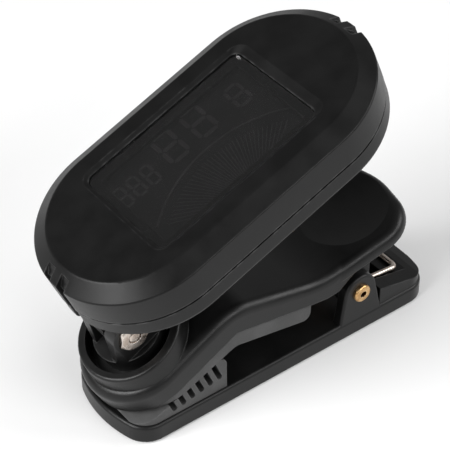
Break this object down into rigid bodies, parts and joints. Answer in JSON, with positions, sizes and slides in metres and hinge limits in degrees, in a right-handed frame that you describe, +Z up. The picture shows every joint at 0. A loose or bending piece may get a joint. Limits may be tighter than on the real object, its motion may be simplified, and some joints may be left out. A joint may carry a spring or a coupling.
{
  "type": "clip-on instrument tuner",
  "caption": "Clip-on tuner: oblong display head on a tilting, swivelling fork, carried by a sprung clip with rubber-lined jaws and a thumb lever.",
  "frame": {"origin": "middle of the flat underside of the lower jaw", "axes": "+X from the jaw mouth towards the thumb lever, +Y across the clip to the side away from the hex nut, +Z up from the underside"},
  "size_m": [0.0718, 0.033, 0.0586],
  "materials": {
    "clip_plastic": "satin, fine grain",
    "head_plastic": "satin, fine spark texture",
    "grip_rubber": "matte",
    "brass": "worn, lightly polished",
    "nickel_steel": "nickel plated, slightly warm",
    "smoked_window": "gloss",
    "lcd_glass": "gloss",
    "diffuser": "milky",
    "zebra_rubber": "matte",
    "board_green": "solder mask",
    "epoxy_black": "semi-gloss",
    "switch_steel": "satin",
    "cell_steel": "polished",
    "contact_steel": "plated",
    "ceramic": "matte ceramic",
    "button_rubber": "matte",
    "led_white": "gloss"
  },
  "bodies": {
    "base": {"lower_jaw": "clip_plastic", "lower_grip_pad": "grip_rubber", "hinge_pin": "brass", "torsion_spring": "nickel_steel"},
    "upper": {"upper_jaw": "clip_plastic", "upper_grip_liner": "grip_rubber"},
    "swivel": {"swivel_fork": "clip_plastic", "pivot_bolt": "nickel_steel", "pivot_nut": "nickel_steel", "friction_washers": "nickel_steel", "swivel_washer": "nickel_steel", "swivel_screw": "nickel_steel"},
    "head": {"front_cover": "head_plastic", "rear_cover": "head_plastic", "display_window": "smoked_window", "lcd_panel": "lcd_glass", "light_guide": "diffuser", "backlight_leds": "led_white", "zebra_strip": "zebra_rubber", "circuit_board": "board_green", "chip_blob": "epoxy_black", "crystal_can": "switch_steel", "power_switch": "switch_steel", "coin_cell": "cell_steel", "cell_contact_top": "contact_steel", "cell_contact_side": "contact_steel", "piezo_disc": "brass", "piezo_ceramic": "ceramic", "case_screws": "nickel_steel"},
    "hatch": {"battery_hatch": "head_plastic"},
    "button": {"power_button": "button_rubber"}
  },
  "joints": [
    {"name": "jaw_hinge", "type": "hinge", "parent": "base", "child": "upper", "pos_m": [0.01515, 0, 0.0094], "axis": [0, 1, 0], "range_deg": [0, 30], "stiffness_Nm_per_rad": 0.25, "springref_deg": -45.84, "deforming": ["torsion_spring"]},
    {"name": "head_swivel", "type": "hinge", "parent": "upper", "child": "swivel", "pos_m": [-0.02845, 0, 0.0207], "axis": [-0.4695, 0, 0.8829], "range_deg": [-150, 150]},
    {"name": "head_tilt", "type": "hinge", "parent": "swivel", "child": "head", "pos_m": [-0.02845, 0, 0.0207], "axis": [0, 1, 0], "range_deg": [-75, 20]},
    {"name": "hatch_turn", "type": "hinge", "parent": "head", "child": "hatch", "pos_m": [0.00775, 0, 0.04349], "axis": [-0.3849, 0, 0.9229], "range_deg": [0, 30]},
    {"name": "button_press", "type": "slide", "parent": "head", "child": "button", "axis": [-0.3849, 0, 0.9229], "range_m": [0, 0.0003], "stiffness_N_per_m": 1500, "springref_m": -0.0006}
  ]
}
